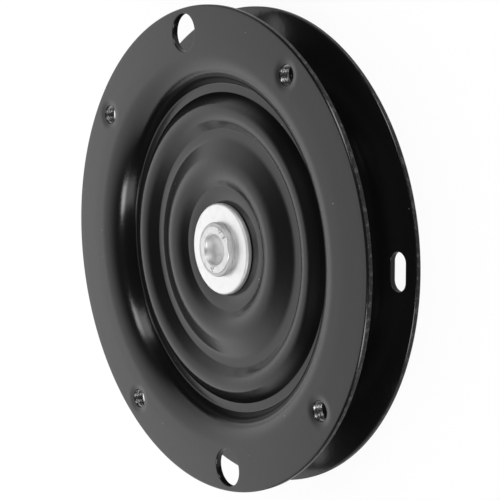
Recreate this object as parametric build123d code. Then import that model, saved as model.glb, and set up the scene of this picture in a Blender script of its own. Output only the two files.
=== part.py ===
from build123d import *
import math
import os

# Seat swivel plate: two round pressed steel plates, dished towards each other, that turn on one row of balls
# and are held together by a rivet through the middle. Millimetres. +Z is the swivel axis, z = 0 is the face
# of the base plate that lies on the stool frame, and the seat plate is on top.

# Pressed plates
plate_diameter = 200.0
base_inset = 0.6
sheet = 2.6
dish_depth = 10.45
plate_gap = 1.0
rim_break = 0.5

# Rings of the pressing, from the rim inwards: flange, lip, wall, ledge, bead over the balls, valley,
# stiffening bead and the flat land round the rivet
flange_width = 19.13
lip_radius = 12.0
wall_slope = 68.0
ledge_width = 3.75
race_flank_slope = 41.0
valley_width = 3.64
stiff_outer_slope = 24.0
stiff_inner_slope = 27.0
stiff_crest_radius = 8.0
land_diameter = 52.0
land_rise = 0.85

# Balls
ball_diameter = 9.525
ball_clearance = 0.05
ball_count = 12

# Holes in the flanges
hole_edge_distance = 10.0
access_hole = 15.5
access_hole_count = 2
tapped_hole = 6.8
tapped_hole_count = 4
tapped_entry = 1.2
collar_diameter = 11.0
collar_taper = 0.6
collar_height = 2.5
slot_edge_distance = 10.0
slot_width = 8.2
slot_length = 15.2
slot_count = 4
seat_rest_turn = 9.0

# Rivet and washers
rivet_shank = 14.0
running_clearance = 0.05
washer_diameter = 39.0
washer_thickness = 2.25
washer_edge = 0.3
washer_gap = 0.1
formed_head_diameter = 22.8
formed_head_height = 2.4
formed_head_bevel = 1.2
rivet_cup_diameter = 12.8
rivet_cup_floor = 9.6
rivet_cup_depth = 2.8
factory_head_diameter = 24.0
factory_head_height = 2.8
factory_head_bevel = 1.5

# Ball cage
cage_thickness = 0.5
cage_width = 17.0
pocket_clearance = 0.15

# Heights worked out from the sizes above
overall_height = 2 * (dish_depth + sheet) + plate_gap
mid_height = overall_height / 2
land_depth = dish_depth - land_rise
lower_washer_top = land_depth
lower_washer_bottom = lower_washer_top - washer_thickness
upper_washer_bottom = overall_height - land_depth + washer_gap
upper_washer_top = upper_washer_bottom + washer_thickness

# Radii worked out from the sizes above, from the rim inwards
rim_radius = plate_diameter / 2
base_rim_radius = rim_radius - base_inset
hole_circle_radius = rim_radius - hole_edge_distance
slot_circle_radius = base_rim_radius - slot_edge_distance
lip_start = rim_radius - flange_width
wall_turn = math.radians(wall_slope)
lip_drop = lip_radius * (1 - math.cos(wall_turn))
wall_start = lip_start - lip_radius * math.sin(wall_turn)
floor_radius = wall_start - (dish_depth - lip_drop) / math.tan(wall_turn)
groove_radius = ball_diameter / 2 + ball_clearance
flank_turn = math.radians(race_flank_slope)
bead_radius = groove_radius + sheet
bead_half_width = (bead_radius / math.cos(flank_turn) - sheet - plate_gap / 2) / math.tan(flank_turn)
race_radius = floor_radius - ledge_width - bead_half_width
stiff_outer_radius = race_radius - bead_half_width - valley_width
stiff_inner_radius = land_diameter / 2
stiff_outer_turn = math.radians(stiff_outer_slope)
stiff_inner_turn = math.radians(stiff_inner_slope)
hub_hole = rivet_shank + 2 * running_clearance


def lift(points, height):
    """The same points of a section, moved along Z."""
    return [(radius, z + height) for radius, z in points]


def race_arc(arc_radius, face):
    """Ball race bead on one face of the sheet: its arc is centred on the balls, its flanks are straight.

    Gives the outer foot, three points of the arc and the inner foot; z = 0 is the height of the ball centres
    and face is the height of the dish floor's face there.
    """
    reach = arc_radius * math.sin(flank_turn)
    shoulder = arc_radius * math.cos(flank_turn)
    foot = (arc_radius / math.cos(flank_turn) - face) / math.tan(flank_turn)
    return [
        (race_radius + foot, face),
        (race_radius + reach, shoulder),
        (race_radius, arc_radius),
        (race_radius - reach, shoulder),
        (race_radius - foot, face),
    ]


def stiff_arc(inset):
    """Stiffening bead on the outer face, or inset by the sheet: a long outer flank and a steep inner one.

    Gives the outer foot, three points of the crest's arc and the inner foot; z = 0 is the outer face of the
    dish floor, and the inner foot is on the land, which stands higher.
    """
    outer_rise = math.tan(stiff_outer_turn)
    inner_rise = math.tan(stiff_inner_turn)
    weighted = stiff_outer_radius * outer_rise + stiff_inner_radius * inner_rise
    apex = (weighted - land_rise) / (outer_rise + inner_rise)
    apex_height = (stiff_outer_radius - apex) * outer_rise
    lean = (stiff_inner_turn - stiff_outer_turn) / 2
    reach = stiff_crest_radius / math.cos((stiff_inner_turn + stiff_outer_turn) / 2)
    centre = apex + reach * math.sin(lean)
    centre_height = apex_height - reach * math.cos(lean)
    radius = stiff_crest_radius - inset
    turns = (stiff_outer_turn, -lean, -stiff_inner_turn)
    crest = [(centre + radius * math.sin(turn), centre_height + radius * math.cos(turn)) for turn in turns]
    outer_foot = (stiff_outer_radius - inset * math.tan(stiff_outer_turn / 2), -inset)
    inner_foot = (stiff_inner_radius + inset * math.tan(stiff_inner_turn / 2), land_rise - inset)
    return [outer_foot, *crest, inner_foot]


def lip_arc(inset):
    """Bend from the flange into the dish wall on the outer face, or inset by the sheet: three points."""
    radius = lip_radius - inset
    turns = (0, wall_turn / 2, wall_turn)
    return [(lip_start - radius * math.sin(turn), radius * math.cos(turn) - lip_radius) for turn in turns]


def plate_section(rim):
    """Half section of a pressed plate out to its rim, with its flange face on z = 0 and its dish below."""
    hub = hub_hole / 2
    floor = -dish_depth
    beneath = floor - sheet
    land = -land_depth
    ball_height = beneath - plate_gap / 2
    foot = (floor_radius, floor)
    foot_beneath = (floor_radius + sheet * math.tan(wall_turn / 2), beneath)
    lip = lip_arc(0)
    lip_beneath = lip_arc(sheet)
    race = lift(race_arc(bead_radius, sheet + plate_gap / 2), ball_height)
    groove = lift(race_arc(groove_radius, plate_gap / 2), ball_height)
    stiff = lift(stiff_arc(0), floor)
    hollow = lift(stiff_arc(sheet), floor)
    with BuildSketch(Plane.XZ) as section:
        with BuildLine():
            Line((rim - rim_break, 0), lip[0])
            ThreePointArc(*lip)
            Polyline(lip[2], foot, race[0], race[1])
            ThreePointArc(*race[1:4])
            Polyline(race[3], race[4], stiff[0], stiff[1])
            ThreePointArc(*stiff[1:4])
            Polyline(stiff[3], stiff[4], (hub, land), (hub, land - sheet), hollow[4], hollow[3])
            ThreePointArc(*reversed(hollow[1:4]))
            Polyline(hollow[1], hollow[0], groove[4], groove[3])
            ThreePointArc(*reversed(groove[1:4]))
            Polyline(groove[1], groove[0], foot_beneath, lip_beneath[2])
            ThreePointArc(*reversed(lip_beneath))
            Polyline(lip_beneath[0], (rim - rim_break, -sheet), (rim, rim_break - sheet), (rim, -rim_break),
                     (rim - rim_break, 0))
        make_face()
    return section.sketch


def pressed_plate(rim):
    """A plate before its flange is pierced, with its flange face on z = 0 and its dish below."""
    return revolve(plate_section(rim), Axis.Z)


def turned(corners):
    """Solid of revolution about Z from the corners of its half section."""
    with BuildSketch(Plane.XZ) as section:
        with BuildLine():
            Polyline(*corners, close=True)
        make_face()
    return revolve(section.sketch, Axis.Z)


def tapped_collar():
    """Metal that is drawn down round a tapped hole, from inside the flange to the collar's end."""
    outer = collar_diameter / 2
    end = -sheet - collar_height
    inside = -sheet / 2
    return turned([(0, inside), (outer, inside), (outer, -sheet), (outer - collar_taper, end), (0, end)])


def tapped_bore():
    """What a tapped hole takes out, with the entry that drawing the collar leaves in the flange."""
    hole = tapped_hole / 2
    end = -sheet - collar_height
    return turned([(0, 0), (hole + tapped_entry, 0), (hole, -tapped_entry), (hole, end), (0, end)])


def around(circle_radius, count, first_angle):
    """Places on a circle round the axis, each turned so that its own X points outwards."""
    return list(PolarLocations(circle_radius, count, start_angle=first_angle))


def make_seat_plate():
    """Upper plate: access holes on one diameter, tapped holes evenly spaced on both sides of it."""
    access_angle = 90 + seat_rest_turn
    tapped_angle = access_angle + 180 / tapped_hole_count
    tapped_places = around(hole_circle_radius, tapped_hole_count, tapped_angle)
    access_places = around(hole_circle_radius, access_hole_count, access_angle)
    access_bore = Cylinder(access_hole / 2, 4 * sheet)
    plate = pressed_plate(rim_radius)
    plate += [place * tapped_collar() for place in tapped_places]
    plate -= [place * tapped_bore() for place in tapped_places]
    plate -= [place * access_bore for place in access_places]
    return Pos(0, 0, overall_height) * plate


def make_base_plate():
    """Lower plate: the same pressing turned over, trimmed a little smaller, with slots that run round it."""
    slot = extrude(SlotOverall(slot_length, slot_width, rotation=90), amount=2 * sheet, both=True)
    plate = pressed_plate(base_rim_radius)
    plate -= [place * slot for place in around(slot_circle_radius, slot_count, 0)]
    return Rot(180, 0, 0) * plate


def make_washer(bottom):
    """Flat washer with its outer edges broken."""
    rim = washer_diameter / 2
    hub = hub_hole / 2
    top = bottom + washer_thickness
    return turned([
        (hub, bottom),
        (rim - washer_edge, bottom),
        (rim, bottom + washer_edge),
        (rim, top - washer_edge),
        (rim - washer_edge, top),
        (hub, top),
    ])


def make_rivet():
    """Rivet, one piece: factory head below, shank, and the cupped head formed over the upper washer."""
    shank = rivet_shank / 2
    factory_head = factory_head_diameter / 2
    formed_head = formed_head_diameter / 2
    top = upper_washer_top + formed_head_height
    bottom = lower_washer_bottom - factory_head_height
    cup_bottom = top - rivet_cup_depth
    return turned([
        (0, bottom),
        (factory_head - factory_head_bevel, bottom),
        (factory_head, bottom + factory_head_bevel),
        (factory_head, lower_washer_bottom),
        (shank, lower_washer_bottom),
        (shank, upper_washer_top),
        (formed_head, upper_washer_top),
        (formed_head, top - formed_head_bevel),
        (formed_head - formed_head_bevel, top),
        (rivet_cup_diameter / 2, top),
        (rivet_cup_floor / 2, cup_bottom),
        (0, cup_bottom),
    ])


def make_ball_cage():
    """Flat ring in the gap between the two dish floors, with a round pocket for each ball."""
    with BuildPart() as cage:
        with BuildSketch(Plane.XY.offset(mid_height)):
            Circle(race_radius + cage_width / 2)
            Circle(race_radius - cage_width / 2, mode=Mode.SUBTRACT)
            with PolarLocations(race_radius, ball_count):
                Circle(ball_diameter / 2 + pocket_clearance, mode=Mode.SUBTRACT)
        extrude(amount=cage_thickness / 2, both=True)
    return cage.part


def make_balls():
    """The row of balls, each in the middle of its pocket."""
    radius = ball_diameter / 2
    places = PolarLocations(race_radius, ball_count)
    return Compound([Pos(0, 0, mid_height) * place * Solid.make_sphere(radius) for place in places])


pieces = {
    "seat_plate": make_seat_plate(),
    "base_plate": make_base_plate(),
    "upper_washer": make_washer(upper_washer_bottom),
    "lower_washer": make_washer(lower_washer_bottom),
    "pivot_rivet": make_rivet(),
    "ball_cage": make_ball_cage(),
    "bearing_balls": make_balls(),
}

os.makedirs("parts", exist_ok=True)
for name, piece in pieces.items():
    export_step(piece, f"parts/{name}.step")
    print(f"{name}: {piece.volume:.1f} mm3")
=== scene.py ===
# %% [markdown]
# # A seat swivel plate
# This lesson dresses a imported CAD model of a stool's swivel: two round plates pressed out of sheet steel,
# painted black and dished towards each other, with a row of balls between them and a bright rivet through
# the middle. The plate on top turns under the seat, and the one below is screwed to the stool. The CAD
# model says where each piece is and what it moves with, so the script starts by loading it and never
# moves it.

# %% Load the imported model
import math

import bmesh
import bpy
from mathutils import Matrix, Vector
from mathutils.geometry import delaunay_2d_cdt


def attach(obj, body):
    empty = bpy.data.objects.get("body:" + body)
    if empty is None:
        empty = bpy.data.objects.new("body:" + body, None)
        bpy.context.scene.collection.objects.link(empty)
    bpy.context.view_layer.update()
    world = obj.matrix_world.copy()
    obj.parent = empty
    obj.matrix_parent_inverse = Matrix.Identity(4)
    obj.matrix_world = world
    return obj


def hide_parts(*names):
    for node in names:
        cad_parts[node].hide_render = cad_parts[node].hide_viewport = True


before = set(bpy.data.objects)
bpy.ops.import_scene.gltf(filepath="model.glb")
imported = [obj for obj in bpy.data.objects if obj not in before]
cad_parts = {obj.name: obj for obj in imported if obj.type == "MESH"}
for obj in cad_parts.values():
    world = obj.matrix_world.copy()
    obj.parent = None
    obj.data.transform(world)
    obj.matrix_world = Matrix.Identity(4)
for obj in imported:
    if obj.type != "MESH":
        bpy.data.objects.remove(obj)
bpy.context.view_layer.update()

print("nodes:", sorted(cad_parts))

# %% [markdown]
# ## The bent line of a pressing
# A press tool is drawn as one line with a radius at each corner, so the plates are too. Blender's own
# bevel could round the corners of a mesh later, but it can't give each ring its true radius. Here a
# corner is a radius from the axis, a height and a bend radius, all in millimetres, and each corner
# becomes an arc that meets both of its straights.

# %% Round the corners of a line
MM = 0.001
ARC_STEP = math.radians(6)


def bent_line(corners):
    """Points along straights joined by arcs; corners are (radius, height, bend radius)."""
    points = [Vector(corners[0][:2])]
    for before, corner, after in zip(corners, corners[1:], corners[2:]):
        here = Vector(corner[:2])
        back = (Vector(before[:2]) - here).normalized()
        ahead = (Vector(after[:2]) - here).normalized()
        turn = math.pi - back.angle(ahead)
        bend = corner[2]
        if bend <= 0 or turn < 1e-4:
            points.append(here)
            continue
        reach = bend * math.tan(turn / 2)
        centre = here + (back + ahead).normalized() * bend / math.cos(turn / 2)
        first = here + back * reach - centre
        sense = math.copysign(1, back.x * ahead.y - back.y * ahead.x)
        steps = max(3, math.ceil(turn / ARC_STEP))
        for step in range(steps + 1):
            points.append(centre + Matrix.Rotation(-sense * turn * step / steps, 2) @ first)
    points.append(Vector(corners[-1][:2]))
    return points


def other_side(corners, thickness):
    """The same line on the far side of the sheet, to the left of the way it runs."""
    spots = [Vector(corner[:2]) for corner in corners]
    runs = [(b - a).normalized() for a, b in zip(spots, spots[1:])]
    left = [Vector((-run.y, run.x)) for run in runs]
    moved = [(*(spots[0] + left[0] * thickness), 0)]
    for index in range(1, len(spots) - 1):
        a, b = left[index - 1], left[index]
        spot = spots[index] + (a + b) * thickness / (1 + a.dot(b))
        inward = runs[index - 1].x * runs[index].y - runs[index - 1].y * runs[index].x > 0
        moved.append((*spot, corners[index][2] + (-thickness if inward else thickness)))
    moved.append((*(spots[-1] + left[-1] * thickness), 0))
    return moved


# %% [markdown]
# ## The section of a plate
# From the rim inwards a plate has a flat flange, a wide lip, a steep wall, a narrow ledge, the bead that
# the balls run under, a valley, a low stiffening bead with a long outer slope and a short inner one, and
# a flat land round the rivet. The bead over the balls is concentric with them, so its radius is the
# ball's plus the sheet. The creases are almost sharp, as a press leaves them, and still need a small
# radius to catch the light. On its upper face the race bead leans a little: its crest falls to a tight
# shoulder on the outside and rolls over gently on the inside.

# %% Draw the section of a plate
SHEET = 2.6
SEAT_RIM = 100.0
BASE_RIM = 99.4
DISH = 10.45
WALL_FOOT = 68.55
WALL_SLOPE = math.radians(68)
LIP_BEND = 12.0
CREASE = 0.8
LEDGE = 3.75
PLATE_GAP = 1.0
BALL = 9.525
BALL_CLEARANCE = 0.05
BALL_DEPTH = DISH + SHEET + PLATE_GAP / 2
RACE_BEND = BALL / 2 + BALL_CLEARANCE + SHEET
RACE_SLOPE = math.radians(41)
CREST_TILT = math.radians(2)
CREST_BEND = 6.5
SHOULDER_BEND = 3.8
OUTER_FLANK = math.radians(37)
INNER_FLANK = math.radians(41)
INNER_FOOT = 49.7
VALLEY = 3.64
STIFF_OUTER_SLOPE = math.radians(24)
STIFF_INNER_SLOPE = math.radians(33)
STIFF_CREST = 11.0
STIFF_BLEND = 5.0
LAND = 26.0
LAND_DEPTH = 9.6
HUB = 7.05

race_apex = RACE_BEND / math.cos(RACE_SLOPE) - BALL_DEPTH
race_foot = (race_apex + DISH) / math.tan(RACE_SLOPE)
race = WALL_FOOT - LEDGE - race_foot
stiff_foot = race - race_foot - VALLEY
outer_rise = math.tan(STIFF_OUTER_SLOPE)
inner_rise = math.tan(STIFF_INNER_SLOPE)
stiff_apex = (stiff_foot * outer_rise + LAND * inner_rise + LAND_DEPTH - DISH) / (outer_rise + inner_rise)
stiff_height = (stiff_foot - stiff_apex) * outer_rise
wall_corners = [
    (SEAT_RIM, 0, 0),
    (WALL_FOOT + DISH / math.tan(WALL_SLOPE), 0, LIP_BEND),
    (WALL_FOOT, -DISH, CREASE),
]
race_corners = [
    (race + race_foot, -DISH, CREASE),
    (race, race_apex, RACE_BEND),
    (race - race_foot, -DISH, CREASE),
]
middle_corners = [
    (stiff_foot, -DISH, STIFF_BLEND),
    (stiff_apex, stiff_height - DISH, STIFF_CREST),
    (LAND, -LAND_DEPTH, CREASE),
    (HUB, -LAND_DEPTH, 0),
]
lower_line = bent_line(other_side(wall_corners + race_corners + middle_corners, SHEET))[1:]

outer_foot = race + race_foot
crest_rise = DISH - BALL_DEPTH + RACE_BEND
crest_fall, outer_fall, inner_fall = math.tan(CREST_TILT), math.tan(OUTER_FLANK), math.tan(INNER_FLANK)
shoulder = (outer_foot * outer_fall - crest_rise - race * crest_fall) / (outer_fall - crest_fall)
brow = (INNER_FOOT * inner_fall + crest_rise + race * crest_fall) / (inner_fall + crest_fall)
bead_corners = [
    (outer_foot, -DISH, CREASE / 2),
    (shoulder, (outer_foot - shoulder) * outer_fall - DISH, SHOULDER_BEND),
    (brow, (brow - INNER_FOOT) * inner_fall - DISH, CREST_BEND),
    (INNER_FOOT, -DISH, CREASE / 2),
]
upper_line = bent_line(wall_corners + bead_corners + middle_corners)[1:]
print("section:", len(upper_line), "points above,", len(lower_line), "below")
print("lip starts at radius", round(upper_line[0].x, 2))

# %% [markdown]
# ## Turning a line into a ring of faces
# A lathe could be Blender's Screw modifier. Making the rings of vertices by hand keeps hold of the first
# and last ring, which the flat flange has to join, so the plate closes without a seam.

# %% Turn a line about the axis
TURN_STEPS = 288


def ring_of_verts(mesh, radius, height, steps=TURN_STEPS):
    """One circle of vertices about the axis."""
    verts = []
    for step in range(steps):
        angle = 2 * math.pi * step / steps
        verts.append(mesh.verts.new((radius * math.cos(angle), radius * math.sin(angle), height)))
    return verts


def join_rings(mesh, rings):
    """Faces between each ring and the next."""
    faces = []
    for lower, upper in zip(rings, rings[1:]):
        count = len(lower)
        for index in range(count):
            follow = (index + 1) % count
            faces.append(mesh.faces.new((lower[index], lower[follow], upper[follow], upper[index])))
    return faces


def turned_rings(mesh, line, steps=TURN_STEPS):
    """Rings of vertices along a line, joined by faces."""
    rings = [ring_of_verts(mesh, point[0], point[1], steps) for point in line]
    join_rings(mesh, rings)
    return rings


# %% [markdown]
# ## Holes through the flange
# The big plain holes and the slots are punched: the punch rolls the upper edge over and leaves the lower
# one crisper. A hole is a stack of outlines, one for each point of its wall's line, so a slot only
# differs from a round hole by the length of its straight middle. A boolean cut would leave long thin
# faces on the flat, and no rolled edge.

# %% Outlines of a punched hole
HOLE_STEPS = 64
FLAT_MARGIN = 0.7
PUNCH_ROLL = 0.5
PUNCH_BURR = 0.2


def outline(radius, half_length=0.0):
    """Points round a hole in its own plane; half_length stretches it along its own Y."""
    points = []
    for step in range(HOLE_STEPS):
        angle = 2 * math.pi * (step + 0.5) / HOLE_STEPS
        stretch = math.copysign(half_length, math.sin(angle))
        points.append((radius * math.cos(angle), radius * math.sin(angle) + stretch))
    return points


def punched_hole(width, length):
    """Outlines down the wall of a punched hole, from the flat above to the flat below."""
    radius = width / 2
    wall = bent_line([
        (radius + PUNCH_ROLL + FLAT_MARGIN, 0, 0),
        (radius, 0, PUNCH_ROLL),
        (radius, -SHEET, PUNCH_BURR),
        (radius + PUNCH_BURR + FLAT_MARGIN, -SHEET, 0),
    ])
    return [[(x, y, point[1]) for x, y in outline(point[0], (length - width) / 2)] for point in wall]


# %% [markdown]
# ## Tapped holes
# The seat's screws go into M8 threads. So thin a sheet holds too few turns of thread, so the press draws
# a collar down first: that leaves a soft dimple in the flange above and a short tube below. The thread is
# a real helix. Its rings are close together, and each point's distance from the hole's axis follows a
# ridge that climbs one pitch each turn. A bump map would not show the ridges against the light.

# %% Outlines of a tapped hole
THREAD_CREST = 3.35
THREAD_ROOT = 4.0
PITCH = 1.25
COLLAR_END = SHEET + 2.5
COLLAR_RADIUS = 5.5
COLLAR_TAPER = 0.6
DIMPLE_RADIUS = 7.4
DIMPLE_DEPTH = 0.55
ROWS_PER_TURN = 12
RIDGE_FLAT = 0.15


def thread_ring(depth, first, last):
    """One outline of the thread; the ridge fades out at both ends of the thread."""
    fade = min(1.0, (depth - first) / (PITCH / 2), (last - depth) / (PITCH / 3))
    points = []
    for step in range(HOLE_STEPS):
        angle = 2 * math.pi * (step + 0.5) / HOLE_STEPS
        phase = (depth / PITCH + angle / (2 * math.pi)) % 1.0
        ridge = min(1.0, max(0.0, (1 - abs(2 * phase - 1) - RIDGE_FLAT) / (1 - 2 * RIDGE_FLAT)))
        radius = THREAD_ROOT - (THREAD_ROOT - THREAD_CREST) * ridge * max(0.0, fade)
        points.append((radius * math.cos(angle), radius * math.sin(angle), -depth))
    return points


def tapped_hole():
    """Outlines down a tapped hole and up the outside of its collar."""
    dimple = bent_line([
        (DIMPLE_RADIUS + FLAT_MARGIN, 0, 0),
        (DIMPLE_RADIUS - 1.0, 0, 8.0),
        (THREAD_ROOT + 0.15, -DIMPLE_DEPTH, 0.3),
        (THREAD_ROOT, -DIMPLE_DEPTH - 0.3, 0),
    ])
    first = DIMPLE_DEPTH + 0.3
    last = COLLAR_END - 0.2
    rows = round((last - first) / PITCH * ROWS_PER_TURN)
    collar = bent_line([
        (THREAD_ROOT, -last, 0),
        (THREAD_ROOT, -COLLAR_END, 0.1),
        (COLLAR_RADIUS - COLLAR_TAPER, -COLLAR_END, 0.4),
        (COLLAR_RADIUS, -SHEET, 0.6),
        (COLLAR_RADIUS + 1.0 + FLAT_MARGIN, -SHEET, 0),
    ])
    rings = [[(x, y, point[1]) for x, y in outline(point[0])] for point in dimple[:-1]]
    rings += [thread_ring(first + (last - first) * row / rows, first, last) for row in range(rows + 1)]
    rings += [[(x, y, point[1]) for x, y in outline(point[0])] for point in collar[1:]]
    return rings


# %% [markdown]
# ## The flat flange
# The flange is flat apart from its holes, so it is filled with triangles between the rim, the lip and the
# holes. A Delaunay fill keeps the triangles even, and narrow bands of flat faces beside each round edge
# keep the shading of the edge from spreading over the flat.

# %% Fill the flange between its edges
FLANGE_RINGS = (81.7, 82.7, 83.9, 85.2, 87.0, 90.0, 93.0, 96.0, 98.0)


def fill_flat(mesh, rings, height, holes, upwards):
    """Triangles between an outer ring, an inner ring and the holes; holes are (centre, radius, ring)."""
    edges_of_fill = list(rings) + [hole[2] for hole in holes]
    verts = [vert for ring in edges_of_fill for vert in ring]
    flat = [Vector(vert.co[:2]) for vert in verts]
    edges = []
    start = 0
    for ring in edges_of_fill:
        edges += [(start + index, start + (index + 1) % len(ring)) for index in range(len(ring))]
        start += len(ring)
    for radius in FLANGE_RINGS:
        for step in range(TURN_STEPS // 2):
            angle = 4 * math.pi * (step + 0.25) / TURN_STEPS
            spot = Vector((radius * math.cos(angle), radius * math.sin(angle)))
            if all((spot - hole[0]).length > hole[1] + 0.8 for hole in holes):
                verts.append(mesh.verts.new((spot.x, spot.y, height)))
                flat.append(spot)
    places, _, triangles, sources, _, _ = delaunay_2d_cdt(flat, edges, [], 0, 1e-6)
    inner = rings[1][0].co.xy.length
    for triangle in triangles:
        middle = sum((places[index] for index in triangle), Vector((0, 0))) / 3
        if middle.length < inner or any(inside(middle, hole[2]) for hole in holes):
            continue
        corners = [verts[sources[index][0]] for index in triangle]
        mesh.faces.new(corners if upwards else corners[::-1])


def inside(spot, ring):
    """Whether a spot lies inside a ring that is convex."""
    sides = []
    for here, follow in zip(ring, ring[1:] + ring[:1]):
        run = follow.co.xy - here.co.xy
        sides.append(run.cross(spot - here.co.xy) > 0)
    return all(sides)


# %% [markdown]
# ## A whole plate
# The rim was blanked out of the sheet and tumbled, so its edges are rounded too. Drawing the dish also
# pulls the flange down by about a tenth of a millimetre next to the lip: too little to measure, but
# glossy paint shows it. The turns of a thread are cut after painting, so their faces take a second
# finish. A plate is built with its flange face at height 0 and its dish below, and then carried to its
# place: the seat plate rises to the top of the stack, and the base plate is the same pressing turned
# over.

# %% Build a plate from its parts
RIM_ROLL = 0.9
RIM_BURR = 0.5
DRAW_IN = 0.14


def eased(value, low, high):
    """0 at low, 1 at high and smooth between; low may be the greater."""
    share = min(1.0, max(0.0, (value - low) / (high - low)))
    return share * share * (3 - 2 * share)


def pressed_plate(name, rim_radius, holes, place):
    """A pressed plate as one closed mesh, carried to its place; holes are (circle, angle, outlines)."""
    mesh = bmesh.new()
    dish = turned_rings(mesh, upper_line + lower_line[::-1])
    rim = turned_rings(mesh, bent_line([
        (upper_line[0].x, 0, 0), (rim_radius, 0, RIM_ROLL), (rim_radius, -SHEET, RIM_BURR),
        (upper_line[0].x, -SHEET, 0),
    ])[1:-1])
    tops, bottoms = [], []
    for circle, angle, outlines in holes:
        turn = Matrix.Rotation(math.radians(angle), 4, "Z") @ Matrix.Translation((circle, 0, 0))
        rings = [[mesh.verts.new(turn @ Vector(point)) for point in ring] for ring in outlines]
        centre = turn.translation.xy
        for face in join_rings(mesh, rings):
            if max((vert.co.xy - centre).length for vert in face.verts) < THREAD_ROOT + 0.05:
                face.material_index = 1
        for group, ring in ((tops, rings[0]), (bottoms, rings[-1])):
            group.append((centre, max((vert.co.xy - centre).length for vert in ring), ring))
    fill_flat(mesh, (rim[0], dish[0]), 0.0, tops, True)
    fill_flat(mesh, (rim[-1], dish[-1]), -SHEET, bottoms, False)
    bmesh.ops.recalc_face_normals(mesh, faces=mesh.faces)
    for vert in mesh.verts:
        radius = vert.co.xy.length
        vert.co.z -= DRAW_IN * eased(radius, 87.0, 80.0) * eased(radius, 69.0, 78.0)
    mesh.transform(place @ Matrix.Scale(MM, 4))
    return finished_piece(name, mesh)


def finished_piece(name, mesh):
    """An object made of this mesh, shaded smooth."""
    data = bpy.data.meshes.new(name)
    open_edges = sum(1 for edge in mesh.edges if not edge.is_manifold)
    mesh.to_mesh(data)
    mesh.free()
    data.shade_smooth()
    piece = bpy.data.objects.new(name, data)
    bpy.context.scene.collection.objects.link(piece)
    print(f"{name}: {len(data.polygons)} faces, {open_edges} open edges")
    return piece


# %% [markdown]
# ## The two plates
# The seat plate has two large holes, through which a screwdriver reaches the screws below, and four
# tapped holes. The base plate has slots round a circle of their own. In the photograph the seat plate
# stands a little off square to the base, as a swivel does when it has been turned by hand.

# %% Make the plates and let each ride on its body
STACK = 2 * (DISH + SHEET) + PLATE_GAP
SEAT_TURN = 9.0
HOLE_CIRCLE = 90.0
SLOT_CIRCLE = 89.4
ACCESS_HOLE = 15.5
SLOT_WIDTH = 8.2
SLOT_LENGTH = 15.2

seat_holes = []
for index in range(2):
    seat_holes.append((HOLE_CIRCLE, 90 + SEAT_TURN + 180 * index, punched_hole(ACCESS_HOLE, ACCESS_HOLE)))
for index in range(4):
    seat_holes.append((HOLE_CIRCLE, 45 + SEAT_TURN + 90 * index, tapped_hole()))
base_holes = [(SLOT_CIRCLE, 90 * index, punched_hole(SLOT_WIDTH, SLOT_LENGTH)) for index in range(4)]
seat_plate = pressed_plate("seat_pressing", SEAT_RIM, seat_holes, Matrix.Translation((0, 0, STACK * MM)))
base_plate = pressed_plate("base_pressing", BASE_RIM, base_holes, Matrix.Rotation(math.pi, 4, "X"))
for piece, body, node in ((seat_plate, "seat", "seat_plate"), (base_plate, "base", "base_plate")):
    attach(piece, body)
    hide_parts(node)

# %% [markdown]
# ## Washers and rivet
# A bright washer lies in each dish and one rivet holds the stack. Its lower head was forged before it was
# fitted, and the upper one was spun over with a hollow tool that left a round cup in the middle and a
# fine step round the head. All of them are turned from a line, like the plates.

# %% Turn the washers and the rivet
WASHER_RIM = 19.05
WASHER = 2.25
LOWER_WASHER_TOP = LAND_DEPTH
WASHER_GAP = 0.1
UPPER_WASHER_BOTTOM = STACK - LAND_DEPTH + WASHER_GAP
SHANK = 7.0


def turned_piece(name, line, shape=None, steps=TURN_STEPS):
    """A closed piece turned from a line; shape may press marks into it."""
    mesh = bmesh.new()
    rings = turned_rings(mesh, line, steps)
    if line[0][0] < 1e-6:
        bmesh.ops.remove_doubles(mesh, verts=mesh.verts, dist=1e-5)
    else:
        join_rings(mesh, [rings[-1], rings[0]])
    if shape:
        for vert in mesh.verts:
            vert.co = shape(vert.co)
    bmesh.ops.recalc_face_normals(mesh, faces=mesh.faces)
    mesh.transform(Matrix.Scale(MM, 4))
    return finished_piece(name, mesh)


def washer(name, bottom):
    """A stamped washer, rolled over at its upper edge and crisper at its lower one."""
    top = bottom + WASHER
    return turned_piece(name, bent_line([
        (HUB, (bottom + top) / 2, 0),
        (HUB, bottom, 0.15),
        (WASHER_RIM, bottom, 0.15),
        (WASHER_RIM, top, 1.0),
        (HUB, top, 0.3),
        (HUB, (bottom + top) / 2 + 0.1, 0),
    ]))


upper_washer = washer("upper_washer_ring", UPPER_WASHER_BOTTOM)
lower_washer = washer("lower_washer_ring", LOWER_WASHER_TOP - WASHER)

# %% [markdown]
# ## Nicks in the rivet's head
# The spinning tool chattered now and then and left short nicks in the ring of the head. Each one is a
# dent that is pressed into the mesh, so the ring needs more circles of points than its flat shape does. A
# nick is given by its place on the ring, the way it points, its length and its depth.

# %% Turn the rivet and press the nicks into its head
HEAD_RIM = 11.4
HEAD_HEIGHT = 2.8
HEAD_TOP = UPPER_WASHER_BOTTOM + WASHER + HEAD_HEIGHT
CUP_RIM = 6.5
CUP_FOOT = 4.1
CUP_DEPTH = 3.2
CUP_BEND = 6.6
FORGED_RIM = 12.0
FORGED_HEIGHT = 2.8
FORGED_BOTTOM = LOWER_WASHER_TOP - WASHER - FORGED_HEIGHT
RING_RIM = 9.7
RING_WIDTH = 2.4
RING_STEP = 0.1
NICK_WIDTH = 0.2
NICKS = (
    (9.5, 67, 35, 0.9, 0.70),
    (8.6, 62, 33, 0.8, 0.70),
    (8.9, 41, 31, 0.9, 0.80),
    (8.4, -98, 62, 1.0, 0.70),
    (8.3, -103, 120, 0.8, 0.22),
    (9.7, -136, 50, 0.6, 0.20),
)


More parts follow.
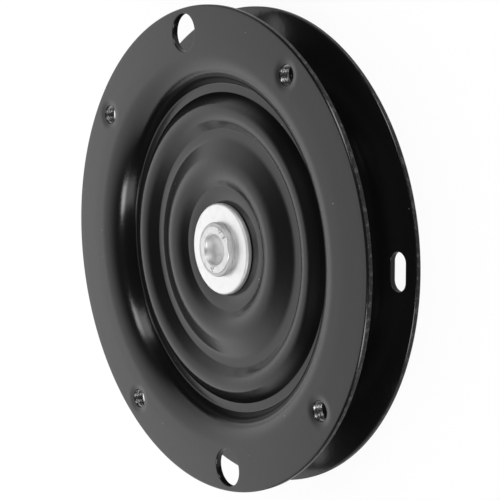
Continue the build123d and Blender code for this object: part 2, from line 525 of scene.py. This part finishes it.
def nicked(spot):
    """The place of a point of the rivet after the nicks have been pressed in."""
    if spot.z < HEAD_TOP - 0.6:
        return spot
    press = 0.0
    for radius, angle, lean, length, depth in NICKS:
        middle = Matrix.Rotation(math.radians(angle), 2) @ Vector((radius, 0))
        across = Matrix.Rotation(math.radians(-lean), 2) @ (spot.xy - middle)
        press = max(press, depth * math.exp(-(across.x / length) ** 4 - (across.y / NICK_WIDTH) ** 2))
    return spot - Vector((0, 0, press))


ring_count = round(RING_WIDTH / RING_STEP)
head_ring = [(RING_RIM - RING_STEP * step, HEAD_TOP, 0) for step in range(1, ring_count)]
rivet_line = bent_line([
    (0, FORGED_BOTTOM, 0),
    (FORGED_RIM, FORGED_BOTTOM, 1.8),
    (FORGED_RIM, LOWER_WASHER_TOP - WASHER, 0.3),
    (SHANK, LOWER_WASHER_TOP - WASHER, 0),
    (SHANK, UPPER_WASHER_BOTTOM + WASHER, 0),
    (HEAD_RIM - 0.3, UPPER_WASHER_BOTTOM + WASHER, 0.15),
    (HEAD_RIM, HEAD_TOP - 1.2, 0.5),
    (HEAD_RIM - 0.35, HEAD_TOP - 0.35, 0.3),
    (RING_RIM + 0.4, HEAD_TOP - 0.12, 0.1),
    (RING_RIM + 0.25, HEAD_TOP - 0.4, 0.05),
    (RING_RIM, HEAD_TOP, 0.12),
    *head_ring,
    (CUP_RIM + 0.55, HEAD_TOP, 0.1),
    (CUP_RIM + 0.4, HEAD_TOP - 0.25, 0.08),
    (CUP_RIM + 0.1, HEAD_TOP - 0.2, 0.3),
    (CUP_FOOT, HEAD_TOP - CUP_DEPTH, CUP_BEND),
    (0, HEAD_TOP - CUP_DEPTH, 0),
])
pivot_rivet = turned_piece("pivot_rivet_body", rivet_line, nicked, 3 * TURN_STEPS // 2)

for piece, node, slot in (
    (upper_washer, "upper_washer", "zinc_washer"),
    (lower_washer, "lower_washer", "zinc_washer"),
    (pivot_rivet, "pivot_rivet", "zinc_rivet"),
):
    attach(piece, "base")
    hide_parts(node)

# %% [markdown]
# ## Shader maths in plain expressions
# A material is easier to read as a sum than as a heap of boxes. One small class holds a socket, and its
# operators add the Math nodes, so that a line such as `1 - mask * 0.3` is the shader.

# %% Wrap a socket so that it can be reckoned with
class Wire:
    """A socket of a node tree that can be reckoned with."""

    def __init__(self, tree, socket):
        self.tree = tree
        self.socket = socket

    def node(self, kind, settings=None, out=0, **inputs):
        """Adds any other node: its settings first, then the values or links of its sockets."""
        return add_node(self.tree, kind, settings, out, **inputs)

    def math(self, operation, *values):
        made = self.tree.nodes.new("ShaderNodeMath")
        made.operation = operation
        for socket, value in zip(made.inputs, values):
            feed(self.tree, socket, value)
        return Wire(self.tree, made.outputs[0])

    def __add__(self, other):
        return self.math("ADD", self, other)

    def __radd__(self, other):
        return self.math("ADD", other, self)

    def __sub__(self, other):
        return self.math("SUBTRACT", self, other)

    def __rsub__(self, other):
        return self.math("SUBTRACT", other, self)

    def __mul__(self, other):
        return self.math("MULTIPLY", self, other)

    def __rmul__(self, other):
        return self.math("MULTIPLY", other, self)

    def __lt__(self, other):
        return self.math("LESS_THAN", self, other)

    def __gt__(self, other):
        return self.math("GREATER_THAN", self, other)

    def ramp(self, low, high):
        """0 below low, 1 above high, smooth between."""
        return self.node("ShaderNodeMapRange", {"interpolation_type": "SMOOTHSTEP"}, Value=self,
                         From_Min=low, From_Max=high)


def feed(tree, socket, value):
    """Links a wire to a socket, or sets the socket's own value."""
    if isinstance(value, Wire):
        tree.links.new(value.socket, socket)
    else:
        socket.default_value = value


def add_node(tree, kind, settings=None, out=0, **inputs):
    """A node of this kind as a wire from one of its outputs; inputs are named with _ for a space."""
    made = tree.nodes.new(kind)
    for name, value in (settings or {}).items():
        setattr(made, name, value)
    for name, value in inputs.items():
        key = int(name[1:]) if name[1:].isdigit() else name.replace("_", " ")
        feed(tree, made.inputs[key], value)
    return Wire(tree, made.outputs[out])


def new_material(name):
    """An empty material: its tree, its shader node and its object coordinates in metres."""
    material = bpy.data.materials.new(name)
    material.use_nodes = True
    tree = material.node_tree
    shader = tree.nodes["Principled BSDF"]
    place = add_node(tree, "ShaderNodeTexCoord", out="Object")
    return material, tree, shader, place


def distance_from_axis(place):
    """How far a spot of the object is from the swivel's axis, in metres."""
    level = place.node("ShaderNodeVectorMath", {"operation": "MULTIPLY"}, _0=place, _1=(1, 1, 0))
    return place.node("ShaderNodeVectorMath", {"operation": "LENGTH"}, out="Value", _0=level)


def band(wire, start, full, fade, end):
    """1 between full and fade, 0 before start and after end."""
    return wire.ramp(start, full) * (1 - wire.ramp(fade, end))


# %% [markdown]
# ## Black stoved paint
# The plates were dipped and stoved: a satin black skin that is hardly lit by itself and shows what stands
# around it. The colour is nearly the same all over, so the life is in the gloss: a slow change of
# roughness, the fine orange peel of a dipped coat, and a few specks of pale dust. On the sheared face of
# the rim the skin is thin and worn in patches. The two steep faces of the gutter round the race bead look
# darker on the real plate than a path tracer makes them. They mirror light that the other side of the
# gutter has mirrored before, and the likely reason is that such light is polarised, so that a second
# mirror at right angles puts most of it out. A path tracer doesn't reckon with that, so that shade is
# painted in: a dull black shader, not a film on the plate, is mixed in there by the distance from the axis.

# %% Mix the paint
PAINT = (0.0055, 0.0055, 0.0057, 1)
# Painted shade: the colour of the dull black shader that darkens the gutter's steep faces; the bands and
# shares below say where it goes and how much.
PAINTED_SHADE_COLOUR = (0.0010, 0.0010, 0.0010, 1)
FLANK_BAND = (0.0602, 0.0640, 0.0645, 0.0649)
FLANK_PAINTED_SHADE = 0.85
WALL_BAND = (0.0684, 0.0687, 0.0705, 0.0713)
WALL_PAINTED_SHADE = 0.5
DUST = (0.34, 0.34, 0.34, 1)
SHEARED_RIM = (0.0985, 0.0988)
SHEARED_DEPTH = 2.0
WORN = (0.04, 0.04, 0.04, 1)

paint, tree, shader, place = new_material("black_paint")
cloud = place.node("ShaderNodeTexNoise", Vector=place, Scale=38.0, Detail=3.0)
peel = place.node("ShaderNodeTexNoise", Vector=place, Scale=420.0, Detail=2.0)
grain = place.node("ShaderNodeTexNoise", Vector=place, Scale=2600.0, Detail=1.0)
cells = {"feature": "F1", "voronoi_dimensions": "3D"}
speck_distance = place.node("ShaderNodeTexVoronoi", cells, out="Distance", Vector=place, Scale=210.0)
speck_colour = place.node("ShaderNodeTexVoronoi", cells, out="Color", Vector=place, Scale=210.0)
speck_pick = place.node("ShaderNodeSeparateColor", Color=speck_colour)
dust = (speck_distance < 0.036) * (speck_pick > 0.78)
from_axis = distance_from_axis(place)
tears = place.node("ShaderNodeTexNoise", Vector=place, Scale=420.0, Detail=3.0, Roughness=0.6)
facing = add_node(tree, "ShaderNodeTexCoord", out="Normal")
upward = add_node(tree, "ShaderNodeSeparateXYZ", out="Z", Vector=facing)
upright = 1 - upward.math("ABSOLUTE", upward).ramp(0.2, 0.5)
sheared = from_axis.ramp(*SHEARED_RIM) * upright
worn = sheared * tears.ramp(0.48, 0.66)
blend = {"data_type": "RGBA"}
skin = place.node("ShaderNodeMix", blend, out=2, Factor=worn, _6=PAINT, _7=WORN)
base = place.node("ShaderNodeMix", blend, out=2, Factor=dust, _6=skin, _7=DUST)
feed(tree, shader.inputs["Base Color"], base)
feed(tree, shader.inputs["Roughness"], 0.13 + cloud * 0.06 + grain * 0.05 + dust * 0.3)
relief = peel * 0.7 + grain * 0.12 + sheared * tears * SHEARED_DEPTH
bump = place.node("ShaderNodeBump", Strength=0.12, Distance=0.0004, Height=relief)
feed(tree, shader.inputs["Normal"], bump)
shader.inputs["IOR"].default_value = 1.5
# Painted shade: the dull black shader is mixed into the flank and wall bands to darken them.
painted_shade_share = band(from_axis, *FLANK_BAND) * FLANK_PAINTED_SHADE + band(from_axis, *WALL_BAND) * WALL_PAINTED_SHADE
painted_shade_shader = place.node("ShaderNodeBsdfPrincipled", Base_Color=PAINTED_SHADE_COLOUR, Roughness=0.6, Specular_IOR_Level=0.06)
coat = place.node("ShaderNodeMixShader", Fac=painted_shade_share, _1=Wire(tree, shader.outputs[0]), _2=painted_shade_shader)
feed(tree, tree.nodes["Material Output"].inputs["Surface"], coat)
print("paint:", len(tree.nodes), "nodes")

# %% [markdown]
# ## Bright zinc
# Zinc plate over turned steel is a pale mirror that fine marks have dulled. The washer has hair-fine
# marks from the tumbling barrel, and the rivet also has the rings that the spinning tool left. The rolled
# edge of a washer and the cup and side of the rivet's head were never rubbed bright, so they are duller.

# %% Plate the washers and the rivet
def zinc_plate(name, bright, dull, dullness, ring_scale, cup=0.0, side=1.0):
    """Zinc with fine marks between two greys; duller inside radius cup and beyond radius side."""
    material, tree, shader, place = new_material(name)
    cloud = place.node("ShaderNodeTexNoise", Vector=place, Scale=260.0, Detail=4.0)
    marks = place.node("ShaderNodeTexNoise", Vector=place, Scale=1800.0, Detail=2.0, Distortion=1.2)
    rings = place.node("ShaderNodeTexWave", {"wave_type": "RINGS", "rings_direction": "Z"}, out="Fac",
                       Vector=place, Scale=ring_scale, Distortion=1.5, Detail=2.0)
    tone = place.node("ShaderNodeMix", {"data_type": "RGBA"}, out=2, Factor=cloud.ramp(0.45, 0.8) * 0.6,
                      _6=(bright, bright, bright, 1), _7=(dull, dull, dull, 1))
    feed(tree, shader.inputs["Base Color"], tone)
    radius = distance_from_axis(place)
    rough_parts = (radius < cup) * 0.14 + (radius > side) * 0.24
    feed(tree, shader.inputs["Roughness"], dullness + cloud * 0.12 + marks * 0.08 + rough_parts)
    bump = place.node("ShaderNodeBump", Strength=0.1, Distance=0.0002, Height=rings * 0.5 + marks * 0.5)
    feed(tree, shader.inputs["Normal"], bump)
    shader.inputs["Metallic"].default_value = 1.0
    return material


washer_zinc = zinc_plate("zinc_washer", 0.77, 0.69, 0.29, 700.0, side=0.0184)
rivet_zinc = zinc_plate("zinc_rivet", 0.67, 0.45, 0.33, 900.0, cup=0.0062, side=0.0101)
print("zinc:", washer_zinc.name, rivet_zinc.name)

# %% [markdown]
# ## Steel inside the bearing
# The balls and their cage hide between the plates. They keep the CAD shapes and still get real finishes,
# because the parts can be seen when the model is taken apart: hard polished balls, and a cage of plain
# strip with a film of grease. The cut threads are bare steel too, dark with oil.

# %% Finish the balls, the cage and the threads
ball_steel = zinc_plate("ball_steel", 0.72, 0.66, 0.06, 200.0)
cage_steel = zinc_plate("cage_steel", 0.60, 0.44, 0.34, 400.0)
thread_steel = zinc_plate("thread_steel", 0.26, 0.16, 0.20, 300.0)

finishes = {
    seat_plate: paint,
    base_plate: paint,
    upper_washer: washer_zinc,
    lower_washer: washer_zinc,
    pivot_rivet: rivet_zinc,
    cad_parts["ball_cage"]: cage_steel,
    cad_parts["bearing_balls"]: ball_steel,
}
for piece, material in finishes.items():
    if piece.data.materials:
        piece.data.materials.clear()
    piece.data.materials.append(material)
seat_plate.data.materials.append(thread_steel)
print("finished:", [piece.name for piece in finishes])

# %% [markdown]
# ## The floor and the studio
# The swivel lies on a plain white floor. The floor is lit like any surface, so it keeps the shadow, and
# it adds its own white for the camera and for reflections, so that the background is clean. The room is
# bright behind the object and dark on the camera's side: black paint looks like what it reflects, and
# that is what gives the flats their grey.

# %% Lay the floor
FLOOR_SEEN = 0.92
FLOOR_MIRRORED = 0.8
MIRRORED_GLOW = 0.4


def light_path(tree, out):
    """One of the answers of the Light Path node."""
    return add_node(tree, "ShaderNodeLightPath", out=out)


floor_mesh = bmesh.new()
bmesh.ops.create_grid(floor_mesh, x_segments=8, y_segments=8, size=6.0)
floor_mesh.transform(Matrix.Translation((0, 0, -0.0002)))
floor = finished_piece("studio_floor", floor_mesh)
floor_white, tree, shader, place = new_material("floor_white")
shader.inputs["Base Color"].default_value = (0.84, 0.84, 0.84, 1)
shader.inputs["Roughness"].default_value = 0.9
seen = light_path(tree, "Is Camera Ray")
mirrored = light_path(tree, "Is Glossy Ray") + light_path(tree, "Is Transmission Ray")
glow = add_node(tree, "ShaderNodeEmission", Color=seen + (1 - seen) * MIRRORED_GLOW, Strength=1.0)
both = add_node(tree, "ShaderNodeMixShader", Fac=seen * FLOOR_SEEN + (mirrored > 0.5) * FLOOR_MIRRORED,
                _1=Wire(tree, shader.outputs[0]), _2=glow)
feed(tree, tree.nodes["Material Output"].inputs["Surface"], both)
floor.data.materials.append(floor_white)

# %% Paint the room
BACKDROP_SIDE = (-0.966, -0.259, 0)
BACKDROP_GLOW = 1.2
DARK_SIDE = 0.004
ROOM_LIGHT = 0.5

world = bpy.data.worlds.new("studio")
bpy.context.scene.world = world
world.use_nodes = True
tree = world.node_tree
way = add_node(tree, "ShaderNodeTexCoord", out="Generated")
dot = {"operation": "DOT_PRODUCT"}
side = add_node(tree, "ShaderNodeVectorMath", dot, out="Value", _0=way, _1=BACKDROP_SIDE)
height = add_node(tree, "ShaderNodeVectorMath", dot, out="Value", _0=way, _1=(0, 0, 1))
backdrop = side.ramp(0.50, 0.85) * (1 - height.ramp(0.10, 0.24))
camera_ray = light_path(tree, "Is Camera Ray")
shiny_ray = light_path(tree, "Is Glossy Ray") + light_path(tree, "Is Transmission Ray")
mirrored = (shiny_ray > 0.5) * (backdrop * BACKDROP_GLOW + DARK_SIDE)
plain = (1 - (shiny_ray > 0.5)) * ROOM_LIGHT
room = camera_ray + (1 - camera_ray) * (mirrored + plain)
feed(tree, tree.nodes["Background"].inputs["Color"], room)
print("room:", len(tree.nodes), "nodes")

# %% [markdown]
# ## Soft lamps
# Black paint is drawn by its reflections. A broad softbox hangs level above the far half of the plate:
# the flats mirror it, and the beads show how it fades out at its near edge. A tall strip to each side of
# the camera, brighter at its top, draws one of the two streaks on the far wall of the dish and lights the
# turns of the threads.

# %% Hang the lamps
def softbox(name, place, size, watts, aim=(0, 0, 0.02)):
    """A rectangular area lamp at a place, turned to the object."""
    data = bpy.data.lights.new(name, "AREA")
    data.shape = "RECTANGLE"
    data.size, data.size_y = size
    data.energy = watts
    lamp = bpy.data.objects.new(name, data)
    lamp.location = place
    lamp.rotation_mode = "QUATERNION"
    lamp.rotation_quaternion = (Vector(aim) - Vector(place)).to_track_quat("-Z", "Y")
    bpy.context.scene.collection.objects.link(lamp)
    area = size[0] * size[1]
    print(f"{name}: {watts} W, {watts / (math.pi * area):.2f} W per square metre and steradian")
    return lamp


def around(azimuth, elevation, distance):
    """A place seen from the object at this azimuth from +X and this elevation."""
    turn = Matrix.Rotation(math.radians(azimuth), 3, "Z") @ Matrix.Rotation(-math.radians(elevation), 3, "Y")
    return turn @ Vector((distance, 0, 0))


NEAR_EDGE = 0.12
FAR_EDGE = -1.30
WIDTH = 1.6
SLANT = 0.25
FADE = 0.08
HANG = 0.3167

reach = NEAR_EDGE - FAR_EDGE
middle = (NEAR_EDGE + FAR_EDGE) / 2
watts = math.pi * reach * WIDTH
overhead = softbox("overhead_softbox", (middle, 0, HANG), (reach, WIDTH), watts, (middle, 0, 0))
overhead.data.use_nodes = True
tree = overhead.data.node_tree
across = add_node(tree, "ShaderNodeNewGeometry", out="Parametric")
along = add_node(tree, "ShaderNodeSeparateXYZ", Vector=across)
aside = (add_node(tree, "ShaderNodeSeparateXYZ", out="Y", Vector=across) - 0.5) * WIDTH
beyond = (1 - along) * reach - FADE - aside * SLANT
glow = (beyond.ramp(0.0, 0.30) * 1.17 + beyond.ramp(0.30, 0.60) * 0.30) * (1 - aside.ramp(0.0, 0.45) * 0.35)
feed(tree, tree.nodes["Emission"].inputs["Color"], glow)

STRIP = (0.36, 0.97)
STRIPS = (
    ("strip_softbox_left", -36, 9.5, 4.2),
    ("strip_softbox_right", 56, 6.6, 6.0),
)

for name, azimuth, top, foot in STRIPS:
    strip = softbox(name, around(azimuth, 28, 1.2), STRIP, math.pi * STRIP[0] * STRIP[1])
    strip.data.use_nodes = True
    tree = strip.data.node_tree
    across = add_node(tree, "ShaderNodeNewGeometry", out="Parametric")
    rise = add_node(tree, "ShaderNodeSeparateXYZ", out="Y", Vector=across)
    feed(tree, tree.nodes["Emission"].inputs["Color"], foot + rise.ramp(0.45, 0.75) * (top - foot))

# %% [markdown]
# ## The camera
# The lens was found by fitting the ellipse of the rim and the places of the holes. The camera looks down
# on the plate from its side with a long lens and is rolled almost a quarter turn, because the photograph
# shows the swivel on edge.

# %% Place the camera
CAMERA_PLACE = Vector((0.48480, 0.08846, 0.37134))
CAMERA_AIM = Vector((0.03044, 0.00385, 0.0271))
CAMERA_ROLL = math.radians(-96.659)

camera = bpy.data.objects.new("camera", bpy.data.cameras.new("camera"))
bpy.context.scene.collection.objects.link(camera)
camera.data.sensor_width = 36.0
camera.data.lens = 105.18
camera.data.clip_start = 0.01
camera.location = CAMERA_PLACE
level = (CAMERA_AIM - CAMERA_PLACE).to_track_quat("-Z", "Y").to_matrix().to_4x4()
camera.rotation_mode = "QUATERNION"
camera.rotation_quaternion = (level @ Matrix.Rotation(CAMERA_ROLL, 4, "Z")).to_quaternion()
bpy.context.scene.camera = camera
bpy.context.scene.view_settings.view_transform = "Standard"
